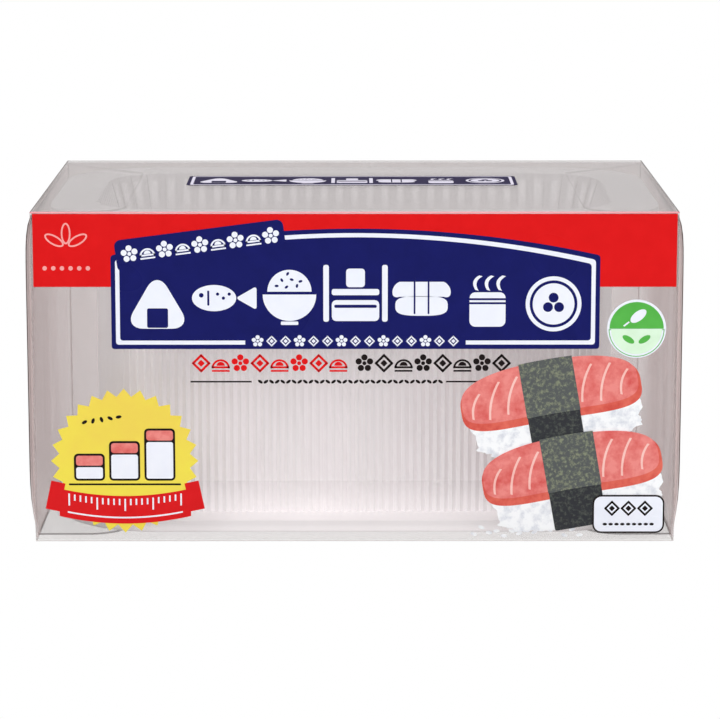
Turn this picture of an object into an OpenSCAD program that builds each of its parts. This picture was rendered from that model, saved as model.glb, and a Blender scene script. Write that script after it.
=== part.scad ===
// Rice mould and press in a clear folding carton.
// The carton stands on its bottom panel, with its front facing -Y.
// Origin: middle of the bottom, on the surface that the carton stands on.

/* [Carton] */
// Outer width of the carton, left to right
carton_w = 120; // [118:1:150]
// Outer depth of the carton, front to back
carton_d = 78; // [74:1:100]
// Thickness of the clear sheet
film = 0.35; // [0.25:0.05:0.6]
// Furthest that a side panel bows outwards between its creases
side_bow = 2.9; // [0.5:0.1:3.5]

/* [Flaps] */
// Height of the tuck flaps, top and bottom
tuck_h = 11; // [7:0.5:15]
// Radius of the tuck flaps' free corners
tuck_r = 7; // [3:0.5:7]
// Reach of a dust flap, from its crease to its free edge
dust_reach = 17; // [12:0.5:24]
// Radius of a dust flap's free front corner
dust_r = 7.5; // [4:0.5:11]
// Share of the lid's angle that a dust flap turns through
dust_ratio = 0.9; // [0.7:0.05:1]
// Width of the glue flap inside the right panel
glue_w = 17.5; // [10:0.5:22]
// Distance of the glue flap's free edge from the carton's top and bottom
glue_cut = 9; // [5:0.5:14]
// Distance of the glue flap's creased edge from the carton's top and bottom
glue_end = 3; // [2:0.5:5]

/* [Mould frame] */
// Length of the rice cavity
cavity_l = 94; // [84:1:96]
// Width of the rice cavity
cavity_w = 49; // [44:1:54]
// Corner radius of the rice cavity
cavity_r = 10; // [6:0.5:16]
// Thickness of the frame's wall under its ribs
wall = 1.9; // [1.2:0.1:3]
// Depth of a rib on the outside of the wall
rib_depth = 0.8; // [0.4:0.1:1.2]
// Spacing of the ribs along the wall, as near as the wall's length allows
rib_pitch = 1.5; // [1.2:0.1:4]
// Corner radius of the flange
flange_r = 19; // [14:0.5:24]
// Thickness of the flange
flange_t = 1.8; // [1.2:0.1:3]
// Widening of the cavity at its mouth, on each side
mouth_flare = 2.2; // [1:0.1:4]
// Depth of the widened mouth
mouth_h = 8; // [4:0.5:12]
// Depth of the grooves that let the rice block slide off the cavity's wall
groove_depth = 0.4; // [0.2:0.1:0.8]
// Width of such a groove
groove_w = 1.3; // [0.8:0.1:1.8]
// Spacing of the grooves along the wall, as near as the wall's length allows
groove_pitch = 3.1; // [2.6:0.1:6]
// Thickness of the rim at the foot
foot_h = 2.2; // [1.4:0.2:4]
// Length of the foot rim
foot_l = 114; // [104:1:115]
// Width of the foot rim
foot_w = 69; // [60:0.5:72]

/* [Press] */
// Longest stroke of the press, which is the tallest block it makes
stroke = 50; // [20:1:50]
// Gap between the press and the cavity's wall
press_gap = 0.4; // [0.3:0.05:0.8]
// Thickness of the pressing plate
plate_t = 2; // [1.4:0.1:3]
// Thickness of the skirt round the plate
skirt_t = 1.6; // [1.2:0.1:2.4]
// Height of the skirt above the plate's underside
skirt_h = 8.5; // [6:0.5:9]
// Length of the grip across the press
grip_l = 62; // [40:1:70]
// Thickness of the grip
grip_t = 9; // [6:0.5:12]
// Rise of the grip above the skirt
grip_rise = 2; // [0:0.5:3]
// Wall of the hollow grip
grip_wall = 1.5; // [1.2:0.1:2]
// Thickness of the stiffening webs in the press
web_t = 1.2; // [0.8:0.1:2]
// Height of the stiffening webs above the plate
web_h = 3; // [1.5:0.5:4]
// Distance of the cross webs from the middle of the press
web_x = 24; // [14:1:26]

/* [Clearances] */
// Gap between a swinging tuck flap and what it passes
swing_gap = 0.3; // [0.2:0.05:0.5]
// Gap between a tuck flap and the front panel at the crease, and at the flap's ends
tuck_gap = 0.15; // [0.1:0.05:0.3]
// Gap between the frame's flange and the top dust flaps
top_gap = 0.5; // [0.3:0.1:2]
// Gap between the frame's flange and the glue flap's crease, the same on the left
flange_gap = 1.1; // [0.6:0.1:1.5]
// Distance that the grip stays below the flange's top at the end of its stroke
stroke_end = 0.1; // [0:0.1:1]
// Gap between a dust flap's rear end and the back panel
dust_gap = 1.5; // [1:0.5:3]
// Gap between a dust flap's front edge and the front panel
dust_front = 3.35; // [2.05:0.1:6]
// Gap between the glue flap and the right panel, filled by the glue
glue_t = 0.2; // [0.2:0.01:0.3]

/* [Hidden] */
$fn = 96;

// Small length by which cutting bodies run past what they cut
over = 0.1;

// The carton is cut to the mould's height: two sheets below it, and two above its top gap
grip_h = skirt_h + grip_rise;
frame_h = stroke + grip_h + stroke_end;
inner_z0 = 2 * film;
inner_z1 = inner_z0 + frame_h + top_gap;
carton_h = inner_z1 + 2 * film;
wall_h = carton_h - 2 * film;

// Distance from the carton's outside to the glue flap's inner face, free on the left too
glue_in = 2 * film + glue_t;

// Tuck flap: the end of its swing decides how far it leans inwards
swing_r = carton_d - film - tuck_gap;
tuck_lean = swing_r - sqrt(swing_r * swing_r - tuck_h * tuck_h);
tuck_w = carton_w - 2 * (glue_in + tuck_gap);
// Smallest distance from the lid's crease to the flap's inner face
tuck_reach = swing_r - film - tuck_lean / 2;
// Furthest that a thing inside the carton may reach towards the front panel
inside_front = carton_d / 2 - tuck_reach + swing_gap;

// Frame
frame_z = inner_z0;
flange_l = carton_w - 2 * (glue_in + flange_gap);
flange_w = -2 * inside_front;
wall_l = cavity_l + 2 * wall;
wall_w = cavity_w + 2 * wall;
wall_r = cavity_r + wall;
foot_r = wall_r + (foot_w - wall_w) / 2;

// Side panels: the powers say how flat the bow is between its steep ends, across and upwards
bow_power_y = 4;
bow_power_z = 12;
bow_cols = 16;
bow_rows = 16;

// Press
press_l = cavity_l - 2 * press_gap;
press_w = cavity_w - 2 * press_gap;
press_r = cavity_r - press_gap;
press_z = frame_z;

// Rounded rectangle in the plane, l by w with corner radius r
module round_rect(l, w, r) {
    square([l - 2 * r, w], center = true);
    square([l, w - 2 * r], center = true);
    for (x = [-1, 1], y = [-1, 1])
        translate([x * (l / 2 - r), y * (w / 2 - r)]) circle(r);
}

// Slot with round ends, l by w
module slot_outline(l, w) {
    square([l - w, w], center = true);
    for (x = [-1, 1]) translate([x * (l - w) / 2, 0]) circle(w / 2);
}

module round_plate(l, w, r, h) {
    linear_extrude(height = h) round_rect(l, w, r);
}

// Rounded box whose sides widen upwards by "grow" over its height
module flared_box(l, w, r, h, grow) {
    for (x = [-1, 1], y = [-1, 1])
        translate([x * (l / 2 - r), y * (w / 2 - r)]) cylinder(r1 = r, r2 = r + grow, h = h);
    flared_bar(l - 2 * r, w / 2, h, grow);
    rotate(90) flared_bar(w - 2 * r, l / 2, h, grow);
}

// Bar along X whose two long sides widen upwards
module flared_bar(l, half_w, h, grow) {
    rotate([90, 0, 90]) translate([0, 0, -l / 2]) linear_extrude(height = l)
        polygon([[-half_w, 0], [half_w, 0], [half_w + grow, h], [-half_w - grow, h]]);
}

// Outline that runs round a rounded rectangle, with a tooth in every pitch
function edge_length(l, w, r) = 2 * (l - 2 * r) + 2 * (w - 2 * r) + 2 * PI * r;

// Point of the outline at distance s from the middle of the front side, pushed out by "out"
function edge_point(s, l, w, r, out) =
    let (a = l / 2 - r, b = w / 2 - r, arc = PI * r / 2,
         full = edge_length(l, w, r),
         side = floor(s / (full / 2)),
         t = s - side * full / 2,
         p = half_point(t, a, b, arc, r, out))
    side == 0 ? p : [-p[0], -p[1]];

// The same over half the outline: front middle, right corner, right side, back corner
function half_point(t, a, b, arc, r, out) =
    t < a ? [t, -b - r - out] :
    t < a + arc ?
        let (u = (t - a) / arc * 90 - 90) [a + (r + out) * cos(u), -b + (r + out) * sin(u)] :
    t < a + arc + 2 * b ? [a + r + out, -b + (t - a - arc)] :
    t < a + 2 * arc + 2 * b ?
        let (u = (t - a - arc - 2 * b) / arc * 90) [a + (r + out) * cos(u), b + (r + out) * sin(u)] :
    [a - (t - a - 2 * arc - 2 * b), b + r + out];

// Outline with pointed ribs that stand out from it
module fluted_outline(l, w, r, pitch, depth) {
    full = edge_length(l, w, r);
    teeth = 2 * round(full / pitch / 2);
    step = full / teeth;
    polygon([for (i = [0:teeth - 1], half = [0, 1])
        edge_point((i + half / 2) * step, l, w, r, half * depth)]);
}

// Outline with square grooves, "width" wide, that stand out from it
module grooved_outline(l, w, r, pitch, width, depth) {
    full = edge_length(l, w, r);
    teeth = 2 * round(full / pitch / 2);
    step = full / teeth;
    polygon([for (i = [0:teeth - 1], c = [[0, 0], [0, depth], [width, depth], [width, 0]])
        edge_point(i * step + (step - width) / 2 + c[0], l, w, r, c[1])]);
}

// Direction in which the outline faces at distance s from the middle of the front side
function edge_angle(s, l, w, r) =
    let (a = edge_point(s, l, w, r, 0), b = edge_point(s, l, w, r, 1))
    atan2(b[1] - a[1], b[0] - a[0]);

// The grooves of the cavity's wall, carried on up the slope of the mouth
module mouth_grooves() {
    full = edge_length(cavity_l, cavity_w, cavity_r);
    teeth = 2 * round(full / groove_pitch / 2);
    slope = atan(mouth_flare / mouth_h);
    for (i = [0:teeth - 1]) {
        s = (i + 0.5) * full / teeth;
        translate(edge_point(s, cavity_l, cavity_w, cavity_r, 0))
            rotate(edge_angle(s, cavity_l, cavity_w, cavity_r)) rotate([0, slope, 0])
                translate([-groove_depth, -groove_w / 2, 0])
                    cube([2 * groove_depth, groove_w, 2 * mouth_h]);
    }
}

// Space inside the frame: a straight cavity and a flared mouth, both grooved
module frame_cavity() {
    reach = mouth_h + over;
    grow = mouth_flare * reach / mouth_h;
    translate([0, 0, -over]) linear_extrude(height = frame_h - mouth_h + 2 * over)
        grooved_outline(cavity_l, cavity_w, cavity_r, groove_pitch, groove_w, groove_depth);
    translate([0, 0, frame_h - mouth_h]) {
        flared_box(cavity_l, cavity_w, cavity_r, reach, grow);
        mouth_grooves();
    }
}

// Carton walls: front and back run the full width, the sides stand between them
module front_panel() {
    color([0.87, 0.85, 0.85, 0.35])
        translate([-carton_w / 2, -carton_d / 2, film])
            cube([carton_w, film, wall_h]);
}

module back_panel() {
    color([0.87, 0.85, 0.85, 0.35])
        translate([-carton_w / 2, carton_d / 2 - film, film])
            cube([carton_w, film, wall_h]);
}

// Bow of a side panel: none at its four edges, and nearly even between them
function bow(y, z) =
    let (u = y / (carton_d / 2 - film), v = 2 * (z - inner_z0) / (inner_z1 - inner_z0) - 1)
    side_bow * (1 - pow(u, bow_power_y)) * (1 - pow(v, bow_power_z));

// Sheet that follows the right panel's bow from y0 to y1, its outer face "depth" inside the
// carton's width. Its ends are straight lines between the heights given at y0 and at y1.
module bowed_sheet(y0, y1, low, high, depth) {
    cols = bow_cols + 1;
    layer = cols * (bow_rows + 1);
    points = [for (side = [0, 1], k = [0:bow_rows], i = [0:bow_cols])
        let (a = i / bow_cols, y = y0 + (y1 - y0) * a,
             z0 = low[0] + (low[1] - low[0]) * a, z1 = high[0] + (high[1] - high[0]) * a,
             z = z0 + (z1 - z0) * (1 - cos(180 * k / bow_rows)) / 2)
        [carton_w / 2 - depth - film * side + bow(y, z), y, z]];
    grid = [for (k = [0:bow_rows - 1], i = [0:bow_cols - 1])
        let (a = k * cols + i) each [[a, a + cols, a + cols + 1], [a, a + cols + 1, a + 1]]];
    rim = concat([for (i = [0:bow_cols]) i],
                 [for (k = [1:bow_rows]) k * cols + bow_cols],
                 [for (i = [1:bow_cols]) layer - 1 - i],
                 [for (k = [1:bow_rows - 1]) layer - cols - k * cols]);
    edge = [for (n = [0:len(rim) - 1])
        let (a = rim[n], b = rim[(n + 1) % len(rim)])
        each [[a, b, b + layer], [a, b + layer, a + layer]]];
    inner = [for (f = grid) [f[2] + layer, f[1] + layer, f[0] + layer]];
    polyhedron(points, concat(grid, inner, edge));
}

module side_panel() {
    end = carton_d / 2 - film;
    bowed_sheet(-end, end, [inner_z0, inner_z0], [inner_z1, inner_z1], 0);
}

module left_panel() {
    color([0.85, 0.83, 0.83, 0.35]) mirror([1, 0, 0]) side_panel();
}

module right_panel() {
    color([0.85, 0.83, 0.83, 0.35]) side_panel();
}

// Glue flap: creased to the front panel, stuck inside the right panel
module glue_flap() {
    front = film - carton_d / 2;
    color([0.82, 0.80, 0.80, 0.45])
        bowed_sheet(front, front + glue_w, [glue_end, glue_cut],
                    [carton_h - glue_end, carton_h - glue_cut], film + glue_t);
}

// Closing panel of one end, drawn for the top
module end_panel() {
    translate([-carton_w / 2, -carton_d / 2, carton_h - film])
        cube([carton_w, carton_d, film]);
}

// Tuck flap of one end, leaning inwards so that it swings clear of the front panel
module tuck_flap() {
    lean = atan(tuck_lean / tuck_h);
    length = tuck_h / cos(lean);
    front = tuck_gap + film - carton_d / 2;
    translate([0, front, carton_h - film])
        intersection() {
            rotate([90 + lean, 0, 0]) translate([0, 0, -film * cos(lean)]) mirror([0, 1, 0])
                linear_extrude(height = film * cos(lean)) tuck_outline(length);
            translate([-carton_w / 2, -over, -2 * tuck_h])
                cube([carton_w, 2 * tuck_h, 2 * tuck_h]);
        }
}

// Flat shape of a tuck flap, crease along X and free edge at "length"
module tuck_outline(length) {
    difference() {
        translate([-tuck_w / 2, -film]) square([tuck_w, length + film]);
        for (x = [0, 1])
            mirror([x, 0]) translate([tuck_w / 2, length]) rotate(180) corner_cut(tuck_r);
    }
}

// What rounding takes off the corner at the origin of a sheet that fills +X and +Y
module corner_cut(r) {
    difference() {
        translate([-over, -over]) square(r + over);
        translate([r, r]) circle(r);
    }
}

// Dust flap of one end, drawn for the top left: a cut rear corner and a round front one
module dust_flap() {
    front = film + dust_front - carton_d / 2;
    back = carton_d / 2 - film - dust_gap;
    translate([-carton_w / 2, 0, inner_z1]) linear_extrude(height = film) difference() {
        polygon([[0, front], [dust_reach, front],
                 [dust_reach, back - dust_ratio * dust_reach], [0, back]]);
        translate([dust_reach, front]) rotate(90) corner_cut(dust_r);
    }
}

// Mirrors an end of the carton from the top to the bottom
module to_bottom() {
    translate([0, 0, carton_h]) mirror([0, 0, 1]) children();
}

module top_panel() {
    color([0.88, 0.86, 0.86, 0.35]) end_panel();
}

module top_tuck_flap() {
    color([0.84, 0.82, 0.82, 0.35]) tuck_flap();
}

module top_dust_flap_left() {
    color([0.82, 0.81, 0.81, 0.35]) dust_flap();
}

module top_dust_flap_right() {
    color([0.82, 0.81, 0.81, 0.35]) mirror([1, 0, 0]) dust_flap();
}

module bottom_panel() {
    color([0.88, 0.86, 0.86, 0.35]) to_bottom() end_panel();
}

module bottom_tuck_flap() {
    color([0.84, 0.82, 0.82, 0.35]) to_bottom() tuck_flap();
}

module bottom_dust_flap_left() {
    color([0.82, 0.81, 0.81, 0.35]) to_bottom() dust_flap();
}

module bottom_dust_flap_right() {
    color([0.82, 0.81, 0.81, 0.35]) to_bottom() mirror([1, 0, 0]) dust_flap();
}

// Open mould: fluted wall, foot rim, and a wide flange round the flared mouth
module mould_frame() {
    color([0.93, 0.93, 0.95, 0.8]) translate([0, 0, frame_z]) difference() {
        union() {
            round_plate(foot_l, foot_w, foot_r, foot_h);
            linear_extrude(height = frame_h - over)
                fluted_outline(wall_l, wall_w, wall_r, rib_pitch, rib_depth);
            translate([0, 0, frame_h - mouth_h])
                flared_box(wall_l, wall_w, wall_r, mouth_h, mouth_flare);
            translate([0, 0, frame_h - flange_t])
                round_plate(flange_l, flange_w, flange_r, flange_t);
        }
        frame_cavity();
    }
}

// Press: a shallow tray with a hollow finger grip along it, braced by low webs
module press() {
    color([0.95, 0.95, 0.97, 0.8]) translate([0, 0, press_z]) {
        press_tray();
        press_grip();
        for (x = [0, 1]) mirror([x, 0, 0]) {
            press_web(grip_l / 2 - grip_wall, 0, press_l / 2 - skirt_t, 0);
            for (y = [-1, 1])
                press_web(web_x, y * (grip_t / 2 - grip_wall), web_x, y * (press_w / 2 - skirt_t));
        }
    }
}

module press_tray() {
    difference() {
        round_plate(press_l, press_w, press_r, skirt_h);
        translate([0, 0, plate_t])
            round_plate(press_l - 2 * skirt_t, press_w - 2 * skirt_t, press_r - skirt_t, skirt_h);
    }
}

module press_grip() {
    difference() {
        linear_extrude(height = grip_h) slot_outline(grip_l, grip_t);
        translate([0, 0, plate_t]) linear_extrude(height = grip_h)
            slot_outline(grip_l - 2 * grip_wall, grip_t - 2 * grip_wall);
    }
}

// Low web on the plate, between two points of the plan that share an X or a Y
module press_web(x0, y0, x1, y1) {
    along_x = abs(x1 - x0);
    along_y = abs(y1 - y0);
    translate([(x0 + x1) / 2, (y0 + y1) / 2, plate_t - over])
        linear_extrude(height = web_h + over)
            square([max(along_x, web_t), max(along_y, web_t)], center = true);
}

front_panel();
back_panel();
left_panel();
right_panel();
glue_flap();
top_panel();
top_tuck_flap();
top_dust_flap_left();
top_dust_flap_right();
bottom_panel();
bottom_tuck_flap();
bottom_dust_flap_left();
bottom_dust_flap_right();
mould_frame();
press();
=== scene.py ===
"""Looks of a rice mould and its press inside a clear, printed folding carton.

The frame holds the sheets of the carton, the frosted mould frame and the press. This script
dresses them, prints the carton with its bands, plates and pictures, and sets the light.
"""

import logging
import math
import random
from dataclasses import dataclass, field
from enum import Enum

import bmesh
import bpy
from mathutils import Matrix, Vector


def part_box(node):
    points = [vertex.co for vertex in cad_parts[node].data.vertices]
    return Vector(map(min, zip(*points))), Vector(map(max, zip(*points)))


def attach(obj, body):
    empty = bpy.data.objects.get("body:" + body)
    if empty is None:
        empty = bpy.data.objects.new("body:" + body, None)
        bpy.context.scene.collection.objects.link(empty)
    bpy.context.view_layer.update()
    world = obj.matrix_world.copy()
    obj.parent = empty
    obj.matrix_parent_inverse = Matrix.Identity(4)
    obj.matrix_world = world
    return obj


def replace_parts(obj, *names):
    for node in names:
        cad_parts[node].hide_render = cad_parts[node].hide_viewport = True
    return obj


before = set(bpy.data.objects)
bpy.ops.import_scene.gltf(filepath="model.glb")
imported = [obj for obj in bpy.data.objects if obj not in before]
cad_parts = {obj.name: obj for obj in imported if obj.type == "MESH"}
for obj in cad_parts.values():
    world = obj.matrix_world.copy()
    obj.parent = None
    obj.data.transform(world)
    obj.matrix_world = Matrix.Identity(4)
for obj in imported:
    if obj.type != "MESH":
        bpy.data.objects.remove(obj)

MM = 0.001
log = logging.getLogger("carton")

Steps = tuple[int, int, int]
Span = tuple[float, float]
Shape = bmesh.types.BMesh
Tree = bpy.types.NodeTree
Node = bpy.types.Node
Socket = bpy.types.NodeSocket
Material = bpy.types.Material


class Body(Enum):
    """The moving bodies that carry print, creases or new sides."""

    CARTON = "carton"
    LID = "lid"
    BASE = "base"


class Kind(Enum):
    """The kinds of socket on a shared node group."""

    VALUE = "NodeSocketFloat"
    COLOUR = "NodeSocketColor"


def linear(colour: Steps) -> tuple[float, float, float, float]:
    """Turns a colour written in 0 to 255 steps into the linear values of a shader.

    Args:
        colour: red, green and blue step.

    Returns:
        The three linear values, and 1 for a full alpha.
    """
    shares = (step / 255 for step in colour)
    return (*(c / 12.92 if c <= 0.04045 else ((c + 0.055) / 1.055) ** 2.4 for c in shares), 1)


# ---------------------------------------------------------------- shader nodes


@dataclass
class Nodes:
    """A node tree, with short ways to add to it."""

    tree: Tree

    def add(self, kind: str, inputs: dict | None = None, **options: object) -> Node:
        """Adds a shader node.

        Args:
            kind: kind of node, without the start that all kinds share.
            inputs: name or number of an input to its value or the socket that feeds it.
            options: settings of the node.

        Returns:
            The node.
        """
        node = self.tree.nodes.new(f"ShaderNode{kind}")
        for key, value in options.items():
            setattr(node, key, value)
        self.feed(node, inputs or {})
        return node

    def feed(self, node: Node, inputs: dict) -> None:
        """Fills inputs of a node.

        Args:
            node: the node.
            inputs: name or number of an input to its value or the socket that feeds it.
        """
        for key, value in inputs.items():
            if isinstance(value, Socket):
                self.tree.links.new(value, node.inputs[key])
            else:
                node.inputs[key].default_value = value

    def place(self) -> bpy.types.bpy_prop_collection:
        """Gives X, Y and Z of the point on the piece."""
        point = self.add("TexCoord").outputs["Object"]
        return self.add("SeparateXYZ", {"Vector": point}).outputs

    def noise(self, point: Socket, scale: Socket, **inputs: float) -> Socket:
        """Adds a noise that is read at a point and has a scale."""
        return self.add("TexNoise", {"Vector": point, "Scale": scale, **inputs}).outputs["Fac"]

    def fade(self, source: Socket, given: Span, wanted: Span) -> Socket:
        """Maps one range of a value to another, and stops at its ends.

        Args:
            source: the value.
            given: range of the value.
            wanted: range that it becomes.

        Returns:
            The new value.
        """
        ends = zip(("From Min", "From Max", "To Min", "To Max"), (*given, *wanted))
        return self.add("MapRange", {"Value": source, **dict(ends)}).outputs["Result"]

    def maths(self, operation: str, *values: Socket | float, clamp: bool = True) -> Socket:
        """Joins values, the first with the second, the result with the third, and so on.

        Args:
            operation: name of the calculation.
            values: sockets or plain numbers.
            clamp: whether each result is kept between 0 and 1.

        Returns:
            The result.
        """
        result, *others = values
        for other in others or (0.0,):
            inputs = {0: result, 1: other}
            result = self.add("Math", inputs, operation=operation, use_clamp=clamp).outputs[0]
        return result

    def shared(self, group: Tree, *values: float | tuple) -> bpy.types.bpy_prop_collection:
        """Places a shared group, fed with values in the order of its inputs."""
        return self.add("Group", dict(enumerate(values)), node_tree=group).outputs


def new_group(name: str, inputs: dict[str, float | tuple], outputs: dict[str, Kind]) -> tuple:
    """Starts a shader node group with named sockets.

    Args:
        name: name of the group.
        inputs: socket name to its start value, which is a tuple for a colour.
        outputs: socket name to its kind.

    Returns:
        The group's nodes, the outputs of its input node, and its output node.
    """
    tree = bpy.data.node_groups.new(name, "ShaderNodeTree")
    for label, value in inputs.items():
        kind = Kind.COLOUR if isinstance(value, tuple) else Kind.VALUE
        socket = tree.interface.new_socket(label, in_out="INPUT", socket_type=kind.value)
        socket.default_value = value
    for label, kind in outputs.items():
        tree.interface.new_socket(label, in_out="OUTPUT", socket_type=kind.value)
    given = tree.nodes.new("NodeGroupInput").outputs
    return Nodes(tree), given, tree.nodes.new("NodeGroupOutput")


def ripple_group() -> Tree:
    """Builds the slow waves, upright streaks and fine grain of a thin plastic sheet.

    Returns:
        A group that gives a height, a roughness and streaks that change over the surface.
    """
    scales = {"Wave Scale": 30.0, "Grain Scale": 900.0, "Grain Share": 0.1}
    found = dict.fromkeys(("Height", "Roughness", "Streak"), Kind.VALUE)
    inputs = {**scales, "Rough Low": 0.05, "Rough High": 0.15}
    nodes, given, out = new_group("SheetRipple", inputs, found)
    point = nodes.add("TexCoord").outputs["Object"]
    upright = nodes.add("Mapping", {"Vector": point, "Scale": (4.0, 4.0, 0.35)})
    streak = nodes.noise(upright.outputs["Vector"], given["Wave Scale"], Detail=2.0)
    wave = nodes.noise(point, given["Wave Scale"], Detail=1.0)
    grain = nodes.noise(point, given["Grain Scale"], Detail=3.0)
    height = nodes.add("Mix", {"Factor": given["Grain Share"], "A": wave, "B": grain})
    ends = {"To Min": given["Rough Low"], "To Max": given["Rough High"]}
    rough = nodes.add("MapRange", {"Value": wave, **ends})
    results = (height.outputs["Result"], rough.outputs["Result"], streak)
    nodes.feed(out, dict(zip(found, results)))
    return nodes.tree


def mottle_group() -> Tree:
    """Builds the uneven colour of a printed ink, from cloudy to grainy.

    Returns:
        A group that gives a colour between two.
    """
    nodes, given, out = new_group(
        "InkMottle",
        {"Colour": (1, 1, 1, 1), "Second": (0, 0, 0, 1), "Scale": 300.0, "Low": 0.35, "High": 0.65},
        {"Colour": Kind.COLOUR},
    )
    point = nodes.add("TexCoord").outputs["Object"]
    noise = nodes.noise(point, given["Scale"], Detail=5.0, Roughness=0.62)
    ends = {"From Min": given["Low"], "From Max": given["High"]}
    share = nodes.add("MapRange", {"Value": noise, **ends}).outputs["Result"]
    colours = {"A": given["Colour"], "B": given["Second"]}
    mix = nodes.add("Mix", {"Factor": share, **colours}, data_type="RGBA")
    nodes.feed(out, {"Colour": mix.outputs["Result"]})
    return nodes.tree


RIPPLE = ripple_group()
MOTTLE = mottle_group()


def start_material(name: str) -> tuple[Material, Nodes, Node]:
    """Starts a material with one Principled shader.

    Args:
        name: name of the material.

    Returns:
        The material, its nodes and its Principled node.
    """
    material = bpy.data.materials.new(name)
    material.use_nodes = True
    tree = material.node_tree
    return material, Nodes(tree), tree.nodes["Principled BSDF"]


# ---------------------------------------------------------------- finishes


@dataclass(frozen=True)
class Finish:
    """What all finishes share: a name, and a skin with waves and grain."""

    name: str

    def start(self, waves: tuple[float, float, float], rough: Span, depth: float) -> tuple:
        """Starts a material with the skin of a moulded or printed sheet.

        Args:
            waves: scale of the waves, scale of the grain, and the grain's share.
            rough: lowest and highest roughness.
            depth: metres between the skin's lowest and highest point.

        Returns:
            The material, its nodes, its Principled node and the streaks of its skin.
        """
        material, nodes, shader = start_material(self.name)
        ripple = nodes.shared(RIPPLE, *waves, *rough)
        bump = nodes.add("Bump", {"Distance": depth, "Height": ripple["Height"]}).outputs
        nodes.feed(shader, {"Roughness": ripple["Roughness"], "Normal": bump["Normal"]})
        return material, nodes, shader, ripple["Streak"]

    def material(self) -> Material:
        """Builds the material, in each kind of finish in its own way."""
        raise NotImplementedError


@dataclass(frozen=True)
class ClearSheet(Finish):
    """Clear plastic sheet. Its tint covers more at a glancing angle, partly as a painted
    reflection, and it darkens where it is edge-on, as painted shade for the dark reflection of an
    edge-on sheet.
    """

    tint: Steps
    cover: float
    glancing: float
    clear_to: float = 0.4
    streaks: float = 0.0
    # Painted shade: the colour where the sheet is seen edge-on.
    edge: Steps = (104, 92, 88)
    edge_span: Span = (0.93, 0.995)
    edge_cover: float = 0.9
    edge_reach: float = 0.0
    edge_fade: float = 3 * MM
    wave_depth: float = 0.03 * MM
    specular: float = 0.15

    def material(self) -> Material:
        """Builds the sheet's material.

        Returns:
            The material.
        """
        start = self.start((26.0, 700.0, 0.03), (0.06, 0.16), self.wave_depth)
        material, nodes, shader, streak = start
        facing = nodes.add("LayerWeight", {"Blend": 0.5}).outputs["Facing"]
        edge_on = nodes.fade(facing, self.edge_span, (0.0, 1.0))
        if self.edge_reach:
            aside = nodes.maths("ABSOLUTE", nodes.place()["Y"])
            span = (self.edge_reach, self.edge_reach + self.edge_fade)
            edge_on = nodes.maths("MULTIPLY", edge_on, nodes.fade(aside, span, (1.0, 0.0)))
        colours = {"A": linear(self.tint), "B": linear(self.edge)}
        shade = nodes.add("Mix", {**colours, "Factor": edge_on}, data_type="RGBA")
        cover = nodes.fade(facing, (self.clear_to, 1.0), (self.cover, self.glancing))
        wavering = nodes.fade(streak, (0.3, 0.7), (1 - self.streaks, 1 + self.streaks))
        streaked = nodes.maths("MULTIPLY", cover, wavering)
        edges = nodes.maths("MULTIPLY", edge_on, self.edge_cover)
        looks = {"Base Color": shade.outputs["Result"], "Specular IOR Level": self.specular}
        nodes.feed(shader, {**looks, "Alpha": nodes.maths("MAXIMUM", streaked, edges)})
        return material


@dataclass(frozen=True)
class PaintedCrestHighlights:
    """Painted highlights on the crests between the grooves of the mouth, which stand in for the
    light that grazes them.
    """

    strength: float = 0.53
    straight_x: float = 37 * MM
    straight_y: float = 14.5 * MM
    corner: float = 10 * MM
    pitch: float = 3.126 * MM
    wave_span: Span = (-0.1, 0.7)
    flare_heights: Span = (52.6 * MM, 60.6 * MM)
    flare_out: Span = (0.9 * MM, 3.1 * MM)
    start: Span = (53.6 * MM, 57 * MM)
    end: Span = (59.8 * MM, 60.4 * MM)

    def light(self, nodes: Nodes, place: bpy.types.bpy_prop_collection, reach: Socket) -> Socket:
        """Paints highlights on the crests, which follow each other at one pitch round the mouth.

        Args:
            nodes: the nodes of the material.
            place: X, Y and Z of the point on the plastic.
            reach: distance from the middle along X.

        Returns:
            The strength of the painted highlight.
        """
        aside = nodes.maths("ABSOLUTE", place["Y"])
        past_x = nodes.maths("SUBTRACT", reach, self.straight_x)
        past_y = nodes.maths("SUBTRACT", aside, self.straight_y)
        angle = nodes.maths("ARCTAN2", past_x, past_y, clamp=False)
        turned = nodes.maths("MULTIPLY", angle, self.corner)
        front = nodes.maths("MINIMUM", reach, self.straight_x)
        side = nodes.fade(aside, (0.0, self.straight_y), (self.straight_y, 0.0))
        run = nodes.maths("ADD", front, turned, side)
        phase = nodes.maths("MULTIPLY", run, 2 * math.pi / self.pitch, clamp=False)
        wave = nodes.maths("COSINE", phase, clamp=False)
        crest = nodes.fade(wave, self.wave_span, (0.0, 1.0))
        edges = tuple(self.corner + out for out in self.flare_out)
        flare = nodes.fade(place["Z"], self.flare_heights, edges)
        squares = (nodes.maths("MULTIPLY", past, past) for past in (past_x, past_y))
        out = nodes.maths("POWER", nodes.maths("ADD", *squares), 0.5)
        inside = nodes.maths("LESS_THAN", out, flare)
        above = nodes.fade(place["Z"], self.start, (0.0, 1.0))
        below = nodes.fade(place["Z"], self.end, (1.0, 0.0))
        return nodes.maths("MULTIPLY", crest, above, below, inside, self.strength)


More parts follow.
